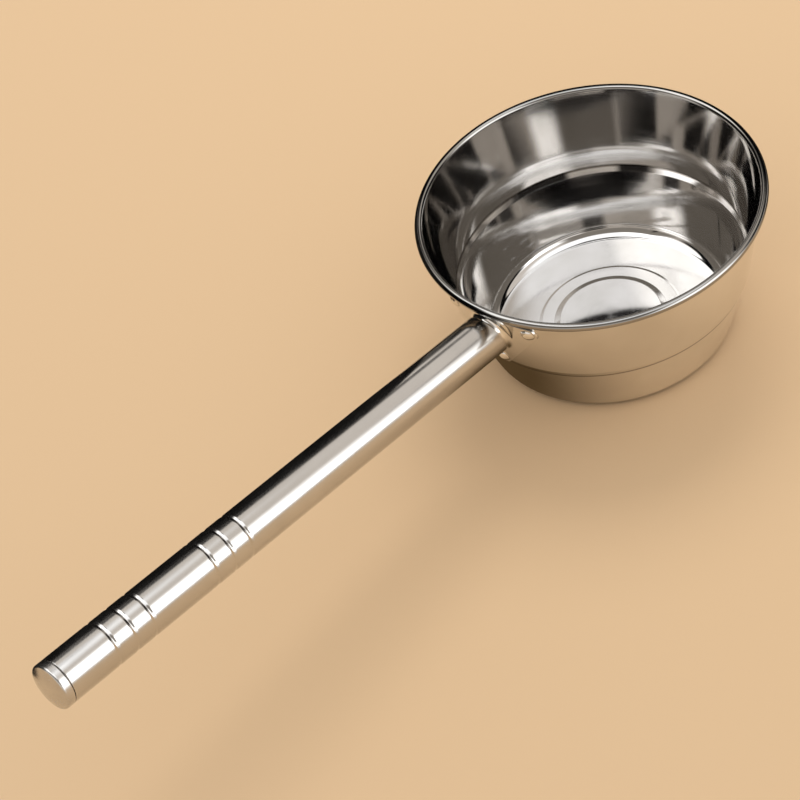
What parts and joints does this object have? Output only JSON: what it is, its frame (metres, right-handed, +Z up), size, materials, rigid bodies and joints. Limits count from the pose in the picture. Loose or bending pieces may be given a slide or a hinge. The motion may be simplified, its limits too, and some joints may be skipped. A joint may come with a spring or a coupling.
{
  "type": "water dipper",
  "caption": "Steel water dipper: stepped drawn bowl with a curled rim, and a long capped tube handle on a riveted bracket.",
  "frame": {"origin": "centre of the plane that the bowl's base stands on", "axes": "+Z up the bowl's axis towards the mouth, -X out along the handle, Y across"},
  "size_m": [0.4963, 0.19, 0.1191],
  "materials": {
    "drawn_steel": "polished",
    "tube_steel": "polished",
    "bracket_steel": "polished",
    "rivet_steel": "polished"
  },
  "bodies": {
    "root": {"bowl": "drawn_steel", "handle_bracket": "bracket_steel", "handle_tube": "tube_steel", "end_cap": "tube_steel", "rivet_left": "rivet_steel", "rivet_right": "rivet_steel", "rivet_lower": "rivet_steel"}
  },
  "joints": []
}
